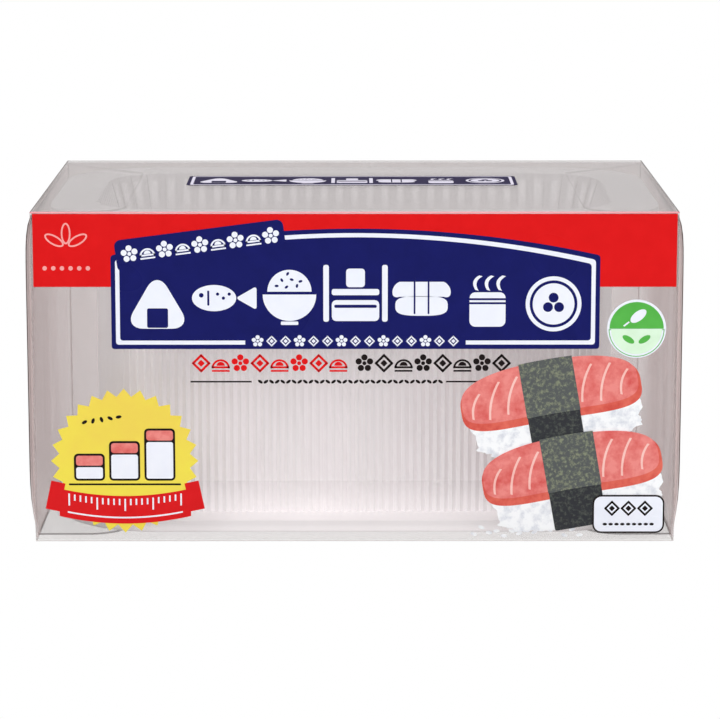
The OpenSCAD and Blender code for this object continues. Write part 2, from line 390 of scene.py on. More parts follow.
@dataclass(frozen=True)
class Frosted(Finish):
    """Milky moulded plastic with a painted glow: an emission, strongest low down, that stands in
    for the light it passes on, with a painted contact shadow at its very foot.
    """

    tint: Steps
    cover: float
    roughness: float
    painted_glow: float
    # Painted highlights on the mouth's crests, added to the glow.
    crest_highlights: PaintedCrestHighlights | None = None
    second_shade: float = 0.93
    mottle: tuple[float, float, float] = (45.0, 0.3, 0.7)
    skin_depth: float = 0.03 * MM
    # The painted glow is weaker towards both ends along X.
    painted_glow_ends: Span = (40 * MM, 52 * MM)
    painted_glow_past_ends: float = 0.15
    # Each band of the painted glow: from and to which height, and how bright below and above it.
    # The first paints a dark contact shadow where the foot meets the floor, the next two paint more
    # light low down, and the last dims the glow towards the mouth.
    painted_glow_bands: tuple = (
        (0.35 * MM, 1.1 * MM, 0.0, 1.0),
        (1.4 * MM, 2.2 * MM, 1.0, 0.74),
        (2.2 * MM, 8 * MM, 1.0, 0.59),
        (48 * MM, 56 * MM, 1.0, 0.1),
    )

    def material(self) -> Material:
        """Builds the plastic's material.

        Returns:
            The material.
        """
        rough = (self.roughness - 0.08, self.roughness + 0.1)
        material, nodes, shader, _ = self.start((60.0, 2600.0, 0.5), rough, self.skin_depth)
        first = linear(self.tint)
        second = (*(c * self.second_shade for c in first[:3]), 1)
        colour = nodes.shared(MOTTLE, first, second, *self.mottle)["Colour"]
        # Painted light: the emission is a glow painted on the plastic, which is no lamp.
        light = {"Emission Color": self.painted_glow_colour(nodes, colour), "Emission Strength": self.painted_glow}
        nodes.feed(shader, {"Base Color": colour, "IOR": 1.49, "Alpha": self.cover, **light})
        return material

    def painted_glow_colour(self, nodes: Nodes, colour: Socket) -> Socket:
        """Paints the glow: fades a colour towards both ends of the plastic along X and in bands of
        its height, and adds the painted crest highlights.

        Args:
            nodes: the nodes of the material.
            colour: the colour.

        Returns:
            The colour of the painted glow.
        """
        place = nodes.place()
        reach = nodes.maths("ABSOLUTE", place["X"])
        light = nodes.fade(reach, self.painted_glow_ends, (1.0, self.painted_glow_past_ends))
        for low, high, below, above in self.painted_glow_bands:
            band = nodes.fade(place["Z"], (low, high), (below, above))
            light = nodes.maths("MULTIPLY", light, band)
        if self.crest_highlights:
            light = nodes.maths("ADD", light, self.crest_highlights.light(nodes, place, reach))
        scaled = nodes.add("VectorMath", {0: colour, "Scale": light}, operation="SCALE")
        return scaled.outputs["Vector"]


@dataclass(frozen=True)
class Ink(Finish):
    """Opaque printing ink with a light gloss."""

    colour: Steps
    second: Steps
    scale: float = 260.0
    low: float = 0.3
    high: float = 0.75
    specular: float = 0.06
    rough: Span = (0.23, 0.36)
    skin_depth: float = 0.02 * MM

    def material(self) -> Material:
        """Builds the ink's material.

        Returns:
            The material.
        """
        start = self.start((26.0, 1500.0, 0.08), self.rough, self.skin_depth)
        material, nodes, shader, _ = start
        colours = (linear(self.colour), linear(self.second))
        mottle = nodes.shared(MOTTLE, *colours, self.scale, self.low, self.high)
        looks = {"Base Color": mottle["Colour"], "Specular IOR Level": self.specular}
        nodes.feed(shader, looks)
        return material


RED = Ink("ink_red", (222, 24, 26), (215, 20, 22))
PALE_RED = Ink("ink_pale_red", (246, 170, 166), (240, 158, 156))
RIBBON = Ink("ink_ribbon", (220, 30, 34), (212, 26, 30))
NAVY = Ink("ink_navy", (23, 27, 99), (20, 24, 90))
WHITE = Ink("ink_white", (240, 243, 252), (234, 238, 249))
LID_NAVY = Ink("ink_lid_navy", (64, 60, 82), (56, 52, 74), specular=0.0)
LID_WHITE = Ink("ink_lid_white", (214, 210, 224), (204, 200, 214), specular=0.0)
BLACK = Ink("ink_black", (34, 26, 26), (22, 16, 16))
STAR_YELLOW = Ink("ink_star_yellow", (240, 225, 82), (236, 203, 90), 34.0, 0.4, 0.75)
GREEN = Ink("ink_green", (92, 184, 80), (82, 172, 72))
PALE_GREEN = Ink("ink_pale_green", (222, 246, 222), (210, 238, 208))
FISH = Ink("ink_salmon", (234, 140, 134), (214, 90, 86), 420.0, 0.38, 0.72)
FISH_RIM = Ink("ink_salmon_rim", (226, 112, 96), (206, 78, 68), 420.0, 0.35, 0.7)
FISH_STRIPE = Ink("ink_salmon_stripe", (248, 204, 196), (242, 184, 176), 420.0)
NORI = Ink("ink_nori", (88, 92, 92), (134, 140, 116), 1700.0, 0.48, 0.66)
NORI_FRONT = Ink("ink_nori_front", (52, 54, 58), (84, 88, 82), 1700.0, 0.48, 0.7)
RICE = Ink("ink_rice", (246, 248, 250), (214, 218, 226), 620.0, 0.46, 0.68)

_materials: dict[str, Material] = {}


def dressed(finish: Finish) -> Material:
    """Gives the material of a finish, which is built only once.

    Args:
        finish: the finish.

    Returns:
        Its material.
    """
    if finish.name not in _materials:
        _materials[finish.name] = finish.material()
    return _materials[finish.name]


# ---------------------------------------------------------------- flat shapes, in mm on XY


def moved(bm: Shape, x: float, y: float, turn: float = 0.0) -> Shape:
    """Turns a flat shape about the origin and moves it.

    Args:
        bm: the flat shape.
        x: move along X.
        y: move along Y.
        turn: angle in degrees, anticlockwise.

    Returns:
        The same shape.
    """
    place = Matrix.Translation((x, y, 0)) @ Matrix.Rotation(math.radians(turn), 4, "Z")
    bmesh.ops.transform(bm, matrix=place, verts=bm.verts)
    return bm


def bar(width: float, height: float, cuts: int = 1) -> Shape:
    """Makes a flat bar, centred on the origin.

    Args:
        width: size along X.
        height: size along Y.
        cuts: number of pieces along X.

    Returns:
        The flat shape.
    """
    bm = bmesh.new()
    bmesh.ops.create_grid(bm, x_segments=cuts, y_segments=1, size=0.5)
    bmesh.ops.scale(bm, vec=(width, height, 1), verts=bm.verts)
    return bm


def rounded(bm: Shape, offset: float, steps: int) -> Shape:
    """Rounds all corners of a flat shape.

    Args:
        bm: the flat shape.
        offset: how much of each side a corner takes.
        steps: segments in each corner.

    Returns:
        The same shape.
    """
    rounding = {"segments": steps, "profile": 0.5, "affect": "VERTICES", "material": -1}
    bmesh.ops.bevel(bm, geom=bm.verts[:], offset=offset, **rounding)
    return bm


def slab(width: float, height: float, radius: float, steps: int = 6) -> Shape:
    """Makes a flat bar with round corners, from its sizes, its radius and its corner steps."""
    return rounded(bar(width, height), radius, steps)


def disc(radius: float, steps: int = 48, squash: float = 1.0) -> Shape:
    """Makes a flat disc or, with a squash, an ellipse.

    Args:
        radius: its radius along X.
        steps: points round its rim.
        squash: its size along Y as a share of that along X.

    Returns:
        The flat shape.
    """
    bm = bmesh.new()
    bmesh.ops.create_circle(bm, cap_ends=True, segments=steps, radius=radius)
    bmesh.ops.scale(bm, vec=(1, squash, 1), verts=bm.verts)
    return bm


def half_disc(radius: float, top: bool, steps: int = 48) -> Shape:
    """Makes the upper or the lower half of a disc.

    Args:
        radius: its radius.
        top: whether it is the upper half.
        steps: points round the whole disc.

    Returns:
        The flat shape.
    """
    bm = disc(radius, steps)
    whole = bm.verts[:] + bm.edges[:] + bm.faces[:]
    cut = {"plane_co": (0, 0, 0), "plane_no": (0, -1 if top else 1, 0), "clear_outer": True}
    bmesh.ops.bisect_plane(bm, geom=whole, **cut)
    return bm


def burst(points: int, radius: float, valley: float) -> Shape:
    """Makes a flat star with many short points.

    Args:
        points: number of points.
        radius: distance of a point's tip from the centre.
        valley: distance of a valley from the centre.

    Returns:
        The flat shape.
    """
    bm = disc(radius, 2 * points)
    bm.verts.ensure_lookup_table()
    low = [vert for i, vert in enumerate(bm.verts) if i % 2]
    bmesh.ops.scale(bm, vec=(valley / radius, valley / radius, 1), verts=low)
    return bm


def pebble(width: float, height: float, lumps: float = 0.0) -> Shape:
    """Makes a flat shape between an ellipse and a rectangle, with a lumpy rim if wanted.

    Args:
        width: size along X.
        height: size along Y.
        lumps: height of the lumps as a share of the size.

    Returns:
        The flat shape.
    """
    rim_points, squareness = 120, 0.62
    waves = ((1.0, 13, 0), (0.6, 29, 1), (0.4, 47, 2))
    bm = disc(1.0, rim_points)
    for vert in bm.verts:
        angle = math.atan2(vert.co.y, vert.co.x)
        lump = sum(share * math.sin(count * angle + start) for share, count, start in waves)
        for axis, along, size in ((0, math.cos(angle), width), (1, math.sin(angle), height)):
            reach = math.copysign(abs(along) ** squareness, along)
            vert.co[axis] = reach * (1 + lumps * lump / 2) * size / 2
    return bm


def framed(bm: Shape, inset: float, thickness: float) -> Shape:
    """Keeps only a line that runs round inside the outline of a flat shape.

    Args:
        bm: the flat shape, which is used up.
        inset: distance of the line from the outline.
        thickness: thickness of the line.

    Returns:
        The line as a flat ring.
    """
    for depth, drop_rim in ((inset, True), (thickness, False)):
        if depth:
            core = bm.faces[:]
            style = {"thickness": depth, "use_even_offset": True, "use_boundary": True}
            made = bmesh.ops.inset_region(bm, faces=core, **style)
            gone = made["faces"] if drop_rim else core
            bmesh.ops.delete(bm, geom=gone, context="FACES")
    return bm


def bent(bm: Shape, rise: float, half: float) -> Shape:
    """Bends a flat shape upwards.

    Args:
        bm: the flat shape.
        rise: how much its middle rises.
        half: distance along X from its middle to where nothing rises.

    Returns:
        The same shape.
    """
    for vert in bm.verts:
        vert.co.y += rise * (1 - (vert.co.x / half) ** 2)
    return bm


def thickened(bm: Shape, move: Vector | tuple) -> Shape:
    """Extrudes an open shape, which closes it.

    Args:
        bm: the open shape.
        move: where its far side goes.

    Returns:
        The same shape, with its faces outwards.
    """
    made = bmesh.ops.extrude_face_region(bm, geom=bm.faces[:])["geom"]
    far = [part for part in made if isinstance(part, bmesh.types.BMVert)]
    bmesh.ops.translate(bm, vec=move, verts=far)
    bmesh.ops.recalc_face_normals(bm, faces=bm.faces)
    return bm


# ---------------------------------------------------------------- signs, drawn at a size of 1


@dataclass
class Sign:
    """A small sign: shapes in the first ink, and shapes printed on them in the second."""

    first: list[Shape] = field(default_factory=list)
    second: list[Shape] = field(default_factory=list)

    def at(self, size: float, x: float, y: float) -> "Sign":
        """Gives the sign its size and its place.

        Args:
            size: its size.
            x: its middle along X.
            y: its middle along Y.

        Returns:
            The same sign.
        """
        for bm in (*self.first, *self.second):
            bmesh.ops.scale(bm, vec=(size, size, 1), verts=bm.verts)
            moved(bm, x, y)
        return self


def rice_ball() -> Sign:
    """Draws a rice ball with its strip of seaweed."""
    ball = moved(rounded(disc(0.68, 3), 0.34, 8), 0, -0.09)
    return Sign([ball], [moved(slab(0.36, 0.34, 0.03, 3), 0, -0.245)])


def fish() -> Sign:
    """Draws a fish with its gill, eye and scales.

    Returns:
        The sign.
    """
    body = moved(disc(0.38, 48, 0.6), -0.16, 0)
    tail = moved(rounded(disc(0.24, 3), 0.06, 8), 0.45, 0, 90)
    gill = moved(slab(0.035, 0.26, 0.01, 2), -0.26, 0)
    eye = moved(disc(0.04, 20), -0.38, 0.05)
    scales = [moved(disc(0.028, 16), 0.1 * i - 0.1, 0.07 - 0.07 * (i % 2)) for i in range(3)]
    return Sign([body, tail], [gill, eye, *scales])


def bowl() -> Sign:
    """Draws a heaped bowl.

    Returns:
        The sign.
    """
    heap = moved(half_disc(0.38, True), 0, 0.05)
    foot = moved(slab(0.3, 0.06, 0.015, 2), 0, -0.5)
    low = ((-0.22, 0.15), (-0.05, 0.13), (0.13, 0.15))
    high = ((-0.13, 0.25), (0.04, 0.26), (0.19, 0.23), (-0.03, 0.36))
    grains = [moved(disc(0.035, 16, 0.6), *at, 40 * i) for i, at in enumerate((*low, *high))]
    return Sign([heap, half_disc(0.46, False), foot], grains)


def pressed_block() -> Sign:
    """Draws a press above a block in its frame.

    Returns:
        The sign.
    """
    walls = [moved(slab(0.09, 0.92, 0.03, 2), side * 0.47, 0) for side in (-1, 1)]
    block = moved(slab(0.76, 0.34, 0.07, 3), 0, -0.28)
    plate = moved(slab(0.76, 0.1, 0.03, 2), 0, 0.02)
    grip = moved(slab(0.3, 0.3, 0.05, 3), 0, 0.25)
    return Sign([*walls, block, plate, grip], [moved(slab(0.68, 0.05, 0.02, 2), 0, -0.21)])


def nigiri_sign() -> Sign:
    """Draws a block of rice with a slab on top and a band round both.

    Returns:
        The sign.
    """
    rice = moved(pebble(0.9, 0.34), 0, -0.2)
    topping = bent(moved(slab(1.0, 0.26, 0.12), 0, 0.04), 0.12, 0.5)
    band = [moved(slab(0.03, 0.62, 0.01, 2), x, -0.03) for x in (-0.12, 0.12)]
    return Sign([rice, topping], band)


def tea_cup() -> Sign:
    """Draws a cup of tea with its steam.

    Returns:
        The sign.
    """
    cup = moved(slab(0.62, 0.6, 0.1, 5), 0, -0.2)
    curls = (bent(bar(0.26, 0.06, 8), 0.07, 0.13) for _ in range(3))
    steam = [moved(curl, x, 0.26, 75) for curl, x in zip(curls, (-0.15, 0.05, 0.25))]
    return Sign([cup, *steam], [moved(bar(0.62, 0.035), 0, y) for y in (-0.02, -0.09)])


def roll_end() -> Sign:
    """Draws the cut end of a rice roll."""
    fillings = [moved(moved(disc(0.085, 20), 0.11, 0), 0, 0, 120 * i + 90) for i in range(3)]
    return Sign([disc(0.48)], [framed(disc(0.48), 0.07, 0.05), *fillings])


def diamonds() -> Sign:
    """Draws two nested diamonds."""
    rim = framed(moved(slab(0.74, 0.74, 0.03, 2), 0, 0, 45), 0, 0.13)
    return Sign([rim, moved(slab(0.28, 0.28, 0.03, 2), 0, 0, 45)])


def half_moons() -> Sign:
    """Draws nested half rings above their base."""
    rim = moved(framed(half_disc(0.5, True, 32), 0, 0.11), 0, -0.28)
    core = moved(half_disc(0.22, True, 24), 0, -0.14)
    return Sign([rim, core, moved(bar(0.96, 0.1), 0, -0.42)])


def flower() -> Sign:
    """Draws a flower with five petals."""
    petals = [moved(moved(disc(0.17, 20), 0, 0.32), 0, 0, 72 * i) for i in range(5)]
    return Sign([*petals, disc(0.11, 20)])


def sign_row(size: float, middle: float, pitch: float, y: float, arch: float = 0.0) -> Sign:
    """Draws the seven large signs in a row.

    Args:
        size: size of a sign.
        middle: size of the sign in the middle.
        pitch: distance between two signs.
        y: height of its ends.
        arch: how much higher its middle stands.

    Returns:
        All signs as one.
    """
    row = Sign()
    drawers = (rice_ball, fish, bowl, pressed_block, nigiri_sign, tea_cup, roll_end)
    last = (len(drawers) - 1) / 2
    for i, draw in enumerate(drawers):
        step = i - last
        rise = arch * (1 - (step / last) ** 2)
        sign = draw().at(size if step else middle, step * pitch, y + rise)
        row.first += sign.first
        row.second += sign.second
    return row


# ---------------------------------------------------------------- pieces and printing


def placed(name: str, data: bpy.types.ID) -> bpy.types.Object:
    """Makes an object at the origin and puts it in the scene.

    Args:
        name: its name.
        data: its mesh, lamp or camera.

    Returns:
        The object.
    """
    thing = bpy.data.objects.new(name, data)
    bpy.context.scene.collection.objects.link(thing)
    return thing


def as_mesh(name: str, bm: Shape, material: Material) -> bpy.types.Mesh:
    """Turns a shape into a mesh.

    Args:
        name: name of the mesh.
        bm: the shape in metres, which is used up.
        material: its material.

    Returns:
        The mesh.
    """
    mesh = bpy.data.meshes.new(name)
    bm.to_mesh(mesh)
    bm.free()
    mesh.materials.append(material)
    return mesh


def add_piece(name: str, bm: Shape, finish: Finish, body: Body) -> bpy.types.Object:
    """Makes a piece of film or ink from a shape that is already in place.

    Args:
        name: name of the piece.
        bm: its shape in metres, which is used up.
        finish: its finish.
        body: the body that it rides on.

    Returns:
        The new object.
    """
    piece = placed(name, as_mesh(name, bm, dressed(finish)))
    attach(piece, body.value)
    log.info("%s: %d faces on %s", name, len(piece.data.polygons), body.value)
    return piece


def dress(node: str, finish: Finish) -> None:
    """Gives a node of the frame its finish.

    Args:
        node: name of the node.
        finish: its finish.
    """
    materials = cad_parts[node].data.materials
    materials.clear()
    materials.append(dressed(finish))
    log.info("%s: dressed in %s", node, finish.name)


def join(parts: list[Shape]) -> Shape:
    """Joins shapes into one.

    Args:
        parts: the shapes, which are used up.

    Returns:
        The whole.
    """
    whole = bmesh.new()
    scratch = bpy.data.meshes.new("scratch")
    for part in parts:
        part.to_mesh(scratch)
        part.free()
        whole.from_mesh(scratch)
    bpy.data.meshes.remove(scratch)
    return whole


@dataclass(frozen=True)
class PrintFace:
    """A face of the carton that takes ink, with the carton's X and its own Y, in mm.

    The foot of each next ink lies a little lower, so that the print shows the same from behind.
    """

    body: Body
    origin: Vector
    up: Vector
    step: float = 0.015 * MM
    lift: float = 0.012 * MM
    sink: float = 0.0005 * MM

    def lay(self, bm: Shape, level: int) -> None:
        """Turns a flat shape into a thin closed film of ink on this face.

        Args:
            bm: the flat shape, in mm.
            level: how many inks lie below it.
        """
        across = Vector((1, 0, 0))
        out = across.cross(self.up)
        place = Matrix.Identity(4)
        for column, axis in enumerate((across, self.up, out)):
            place.col[column][:3] = axis
        place.translation = self.origin + out * (self.lift - self.sink * level)
        bmesh.ops.transform(bm, matrix=Matrix.Scale(MM, 4), verts=bm.verts)
        thickened(bm, (0, 0, self.step * (level + 1) + self.sink * level))
        bmesh.ops.transform(bm, matrix=place, verts=bm.verts)


@dataclass
class Print:
    """What all prints share: the face that takes the ink, and the print's own place on it."""

    face: PrintFace
    x: float = 0.0
    y: float = 0.0

    def stamp(self, name: str, ink: Ink, level: int, *shapes: Shape) -> None:
        """Prints flat shapes in one ink.

        Args:
            name: name of the piece.
            ink: the ink.
            level: how many inks lie below it.
            shapes: flat shapes in mm from the print's place. They are used up, and don't overlap.
        """
        for shape in shapes:
            self.face.lay(moved(shape, self.x, self.y), level)
        add_piece(name, join(shapes), ink, self.face.body)


@dataclass
class TitlePlate(Print):
    """The navy plate with an arched upper edge, its white line and its row of signs."""

    x: float = 0.15
    y: float = 45.6
    width: float = 90.7
    height: float = 17.6
    arch: float = 5.0
    arch_cuts: int = 40
    corner: float = 0.5
    line_inset: float = 0.83
    line_width: float = 0.78
    tab_x: float = -28.75
    tab_slope: float = 7.4
    foot_y: float = -7.4

    def build(self) -> None:
        """Prints the plate in all its inks."""
        self.stamp("title_plate", NAVY, 1, self.outline(0.0))
        self.stamp("title_line", WHITE, 2, self.outline(self.line_inset))
        self.stamp("title_core", NAVY, 3, self.outline(self.line_inset + self.line_width))
        self.tab()
        self.foot_row()
        row = sign_row(10.8, 11.6, 12.25, -0.3, 2.0)
        self.stamp("title_signs", WHITE, 6, *row.first)
        self.stamp("title_sign_marks", NAVY, 7, *row.second)

    def outline(self, margin: float) -> Shape:
        """Makes the plate's outline with its arched upper edge.

        Args:
            margin: how much smaller it is all round.

        Returns:
            The flat shape.
        """
        width, height = self.width - 2 * margin, self.height - 2 * margin
        bm = slab(width, height, self.corner, 3)
        upper = [e for e in bm.edges if all(v.co.y > height / 2 - 0.01 for v in e.verts)]
        bmesh.ops.subdivide_edges(bm, edges=upper, cuts=self.arch_cuts)
        for vert in bm.verts:
            if vert.co.y > 0:
                vert.co.y += self.arch * (1 - (2 * vert.co.x / width) ** 2)
        return bm

    def tab(self) -> None:
        """Prints the small sloping tab on the plate's upper left, with its flowers."""
        tab = moved(slab(31.5, 6.0, 1.2), self.tab_x, 10.6, self.tab_slope)
        self.stamp("title_tab", NAVY, 4, tab)
        signs = []
        for i in range(9):
            place = ((i - 4) * 3.3, 0)
            sign = half_moons().at(2.9, *place) if i % 2 else flower().at(3.3, *place)
            signs += [moved(bm, self.tab_x, 10.8, self.tab_slope) for bm in sign.first]
        self.stamp("title_tab_signs", WHITE, 5, *signs)

    def foot_row(self) -> None:
        """Prints the small row that breaks the lower white line."""
        self.stamp("title_foot", NAVY, 4, moved(bar(41.0, 2.0), 0, self.foot_y))
        signs = []
        for i in range(15):
            place = ((i - 7) * 2.6, self.foot_y + 0.1)
            signs += (diamonds().at(2.0, *place) if i % 3 else flower().at(2.3, *place)).first
        self.stamp("title_foot_signs", WHITE, 5, *signs)


@dataclass
class StarBadge(Print):
    """The yellow star badge with three blocks of growing height and a red ribbon."""

    x: float = -43.1
    y: float = 15.5
    radius: float = 13.8
    valley: float = 12.3
    points: int = 28
    block_pitch: float = 6.6
    block_low: float = -3.8
    block_heights: tuple = (2.2, 4.6, 7.0)
    ribbon_half: float = 12.35
    ribbon_y: float = -7.95
    ribbon_h: float = 5.3
    sag: float = 1.45

    def build(self) -> None:
        """Prints the badge in all its inks."""
        self.stamp("badge_star", STAR_YELLOW, 0, burst(self.points, self.radius, self.valley))
        self.blocks()
        self.ribbon()

    def blocks(self) -> None:
        """Prints the three blocks, each taller than the one before."""
        low = self.block_low
        edges, rice, toppings = [], [], []
        for i, height in enumerate(self.block_heights):
            x = (i - 1) * self.block_pitch
            edges.append(moved(slab(5.8, height + 3.0, 0.8, 4), x, low + (height + 3.0) / 2))
            rice.append(moved(slab(5.0, height, 0.4, 4), x, low + 0.4 + height / 2))
            toppings.append(moved(slab(5.0, 1.9, 0.5, 4), x, low + height + 1.65))
        for i in range(5):
            edges.append(moved(disc(0.55, 16, 0.55), 1.6 * i - 7.4, 7.4 + 0.25 * i, 30 + 40 * i))
        rule = moved(slab(21.0, 0.35, 0.1, 2), 0, low - 0.7)
        self.stamp("badge_blocks", BLACK, 1, *edges, rule)
        self.stamp("badge_blocks_rice", WHITE, 2, *rice)
        self.stamp("badge_blocks_slab", FISH, 2, *toppings)

    def ribbon(self) -> None:
        """Prints the ribbon, its two tails and its scale."""
        x, y = self.ribbon_half + 0.7, self.ribbon_y + 1.2
        tails = (moved(bar(2.7, 5.5), side * x, y, side * 12) for side in (-1, 1))
        self.stamp("badge_ribbon_tails", RIBBON, 1, *tails)
        band = bent(bar(2 * self.ribbon_half, self.ribbon_h, 24), -self.sag, self.ribbon_half)
        self.stamp("badge_ribbon", RIBBON, 3, moved(band, 0, self.ribbon_y))
        marks = []
        for i in range(-10, 11):
            x, tall = i * 1.05, 1.2 if i % 5 else 2.3
            y = 2.1 - tall / 2 - self.sag * (1 - (x / self.ribbon_half) ** 2)
            marks.append(moved(bar(0.3, tall), x, self.ribbon_y + y))
        line = bent(bar(21.6, 0.3, 24), -self.sag, self.ribbon_half)
        marks.append(moved(line, 0, self.ribbon_y - 1.5))
        self.stamp("badge_ribbon_scale", WHITE, 4, *marks)


@dataclass
class FoodPicture(Print):
    """The picture of two pieces of nigiri with their bands of seaweed."""

    places: tuple = ((36.7, 27.3, 10.0), (40.8, 13.0, 10.0))
    levels_each: int = 8
    half: float = 17.0
    bulge: float = 1.4

    def build(self) -> None:
        """Prints both pieces and the loose grains at their foot."""
        for i, place in enumerate(self.places):
            self.nigiri(f"nigiri_{i + 1}", place, self.levels_each * i)
        self.grains()

    def nigiri(self, name: str, place: tuple[float, float, float], level: int) -> None:
        """Prints one piece of nigiri.

        Args:
            name: start of the pieces' names.
            place: its middle along X and Y, and its angle in degrees.
            level: how many inks lie below it.
        """
        half, bulge = self.half, self.bulge
        stripes = []
        for i in (-4, -3, -2, 2, 3, 4):
            tall = 7.4 if abs(i) < 4 else 5.0
            stripe = bent(bar(tall, 0.42, 10), 0.55, tall / 2)
            stripes.append(moved(stripe, i * 3.5, 2.2 - 0.08 * i * i, 68))
        layers = (
            ("rice", RICE, [moved(pebble(31.6, 11.0, 0.05), 0.4, -4.5)]),
            ("rim", FISH_RIM, [bent(moved(pebble(2 * half, 11.2), 0, 0.2), bulge, half)]),
            ("slab", FISH, [bent(moved(pebble(2 * half - 0.8, 9.9), -0.1, 1.05), bulge, half)]),
            ("stripes", FISH_STRIPE, stripes),
            ("band_front", NORI_FRONT, [moved(slab(9.9, 8.2, 0.4, 3), 0, -6.2)]),
            ("band_top", NORI, [bent(moved(bar(10.1, 10.4, 10), 0, 1.0), bulge, half)]),
        )
        for over, (part, ink, shapes) in enumerate(layers):
            self.stamp(f"{name}_{part}", ink, level + over, *(moved(bm, *place) for bm in shapes))

    def grains(self) -> None:
        """Prints loose grains of rice at the foot of the lower piece."""
        rng = random.Random(7)
        grains = []
        for i in range(15):
            y = 1.0 + 1.2 * rng.random() + (0.9 if i % 2 else 0.0)
            grains.append(moved(disc(0.62, 14, 0.5), 22.4 + 1.42 * i, y, 50 * rng.random() - 25))
        self.stamp("loose_grains", RICE, 0, *grains)


@dataclass(kw_only=True)
class RedBand(Print):
    """The red band under the lid's crease, with a small spray of grains over a row of dots."""

    width: float
    height: float
    low: float = 48.5
    below_crease: float = 0.35

    def build(self) -> None:
        """Prints the band in both its inks."""
        high = self.height - self.below_crease
        band = moved(bar(self.width - 0.8, high - self.low), 0.05, (high + self.low) / 2)
        self.stamp("red_band", RED, 0, band)
        petals = [moved(framed(disc(2.0, 32, 0.45), 0, 0.3), 2.5, 0) for _ in range(3)]
        spray = [moved(petal, -53.4, 56.0, 30 + 60 * i) for i, petal in enumerate(petals)]
        self.stamp("red_band_spray", PALE_RED, 1, *spray)
        dots = [moved(disc(0.42, 16), -57.4 + 1.6 * i, 52.0) for i in range(6)]
        self.stamp("red_band_dots", PALE_RED, 1, *dots)


@dataclass
class SignLine(Print):
    """The line of small signs, first red and then black, and the thin rules below."""

    y: float = 34.1
    rule_y: float = -3.5
    left: float = -28.6
    pitch: float = 3.65
    half: int = 8
    gap: float = 1.2

    def build(self) -> None:
        """Prints the line in both its inks."""
        signs = []
        for i in range(2 * self.half):
            x = self.left + self.pitch * i + (self.gap if i >= self.half else 0)
            signs.append((diamonds, half_moons, flower)[i % 3]().at(3.45, x, 0).first)
        red, black = (sum(part, []) for part in (signs[: self.half], signs[self.half :]))
        rules = [moved(bar(long, 0.3), x, self.rule_y) for long, x in ((11.4, -24.9), (6.0, 20.0))]
        for i in range(33):
            seed = disc(0.52, 16, 0.5)
            rules.append(moved(seed, -17.6 + 1.05 * i, self.rule_y, 35 if i % 2 else -35))
        self.stamp("sign_line_red", RED, 0, *red)
        self.stamp("sign_line_black", BLACK, 0, *black, *rules)


@dataclass
class LeafSeal(Print):
    """The round green seal with its leaf and two sprigs."""

    x: float = 52.4
    y: float = 40.6
    radius: float = 5.5

    def build(self) -> None:
        """Prints the seal in all its inks."""
        radius = self.radius
        self.stamp("seal_ring", WHITE, 0, disc(radius, 64))
        self.stamp("seal_green", GREEN, 1, half_disc(radius - 0.45, True))
        self.stamp("seal_pale", PALE_GREEN, 2, moved(half_disc(radius - 0.75, False), 0, -0.05))
        line = framed(half_disc(radius - 0.3, False), 0, 0.16)
        self.stamp("seal_line", GREEN, 1, moved(line, 0, -0.1))
        leaf, stem = moved(disc(1.75, 32, 0.5), 0.3, 2.4, 38), moved(bar(1.3, 0.3), -1.9, 0.9, 38)
        self.stamp("seal_leaf", WHITE, 2, leaf, stem)
        sprigs = (moved(disc(1.25, 24, 0.45), side * 1.5, -2.0, side * 32) for side in (-1, 1))
        self.stamp("seal_sprigs", GREEN, 3, *sprigs)


@dataclass
class WhitePlate(Print):
    """The white plate with its dark line and two rows of small signs, over the picture."""

    x: float = 51.4
    y: float = 5.3
    level: int = 17

    def build(self) -> None:
        """Prints the plate in all its inks."""
        self.stamp("white_plate_edge", BLACK, self.level, slab(13.5, 7.3, 1.6))
        self.stamp("white_plate", WHITE, self.level + 1, slab(12.9, 6.7, 1.35))
        signs = sum((diamonds().at(2.9, 3.1 * (i - 1), 1.1).first for i in range(3)), [])
        signs += [moved(disc(0.42, 16, 0.6), 1.1 * i - 4.4, -1.95) for i in range(9)]
        self.stamp("white_plate_signs", BLACK, self.level + 2, *signs)


@dataclass
class LidPlate(Print):
    """The small navy plate on the lid."""

    x: float = -0.5
    y: float = 6.0
    width: float = 65.2
    height: float = 14.2

    def build(self) -> None:
        """Prints the plate, smaller with each ink, and its signs."""
        layers = (
            ("", LID_NAVY, 0.0, 0.8),
            ("_line", LID_WHITE, 1.4, 0.6),
            ("_core", LID_NAVY, 2.6, 0.4),
        )
        for level, (part, ink, less, radius) in enumerate(layers):
            shape = slab(self.width - less, self.height - less, radius, 3)
            self.stamp(f"lid_plate{part}", ink, level, shape)
        row = sign_row(8.0, 8.0, 8.8, -0.2)
        self.stamp("lid_plate_signs", LID_WHITE, 3, *row.first)
        self.stamp("lid_plate_marks", LID_NAVY, 4, *row.second)


# ---------------------------------------------------------------- carton sheets and creases


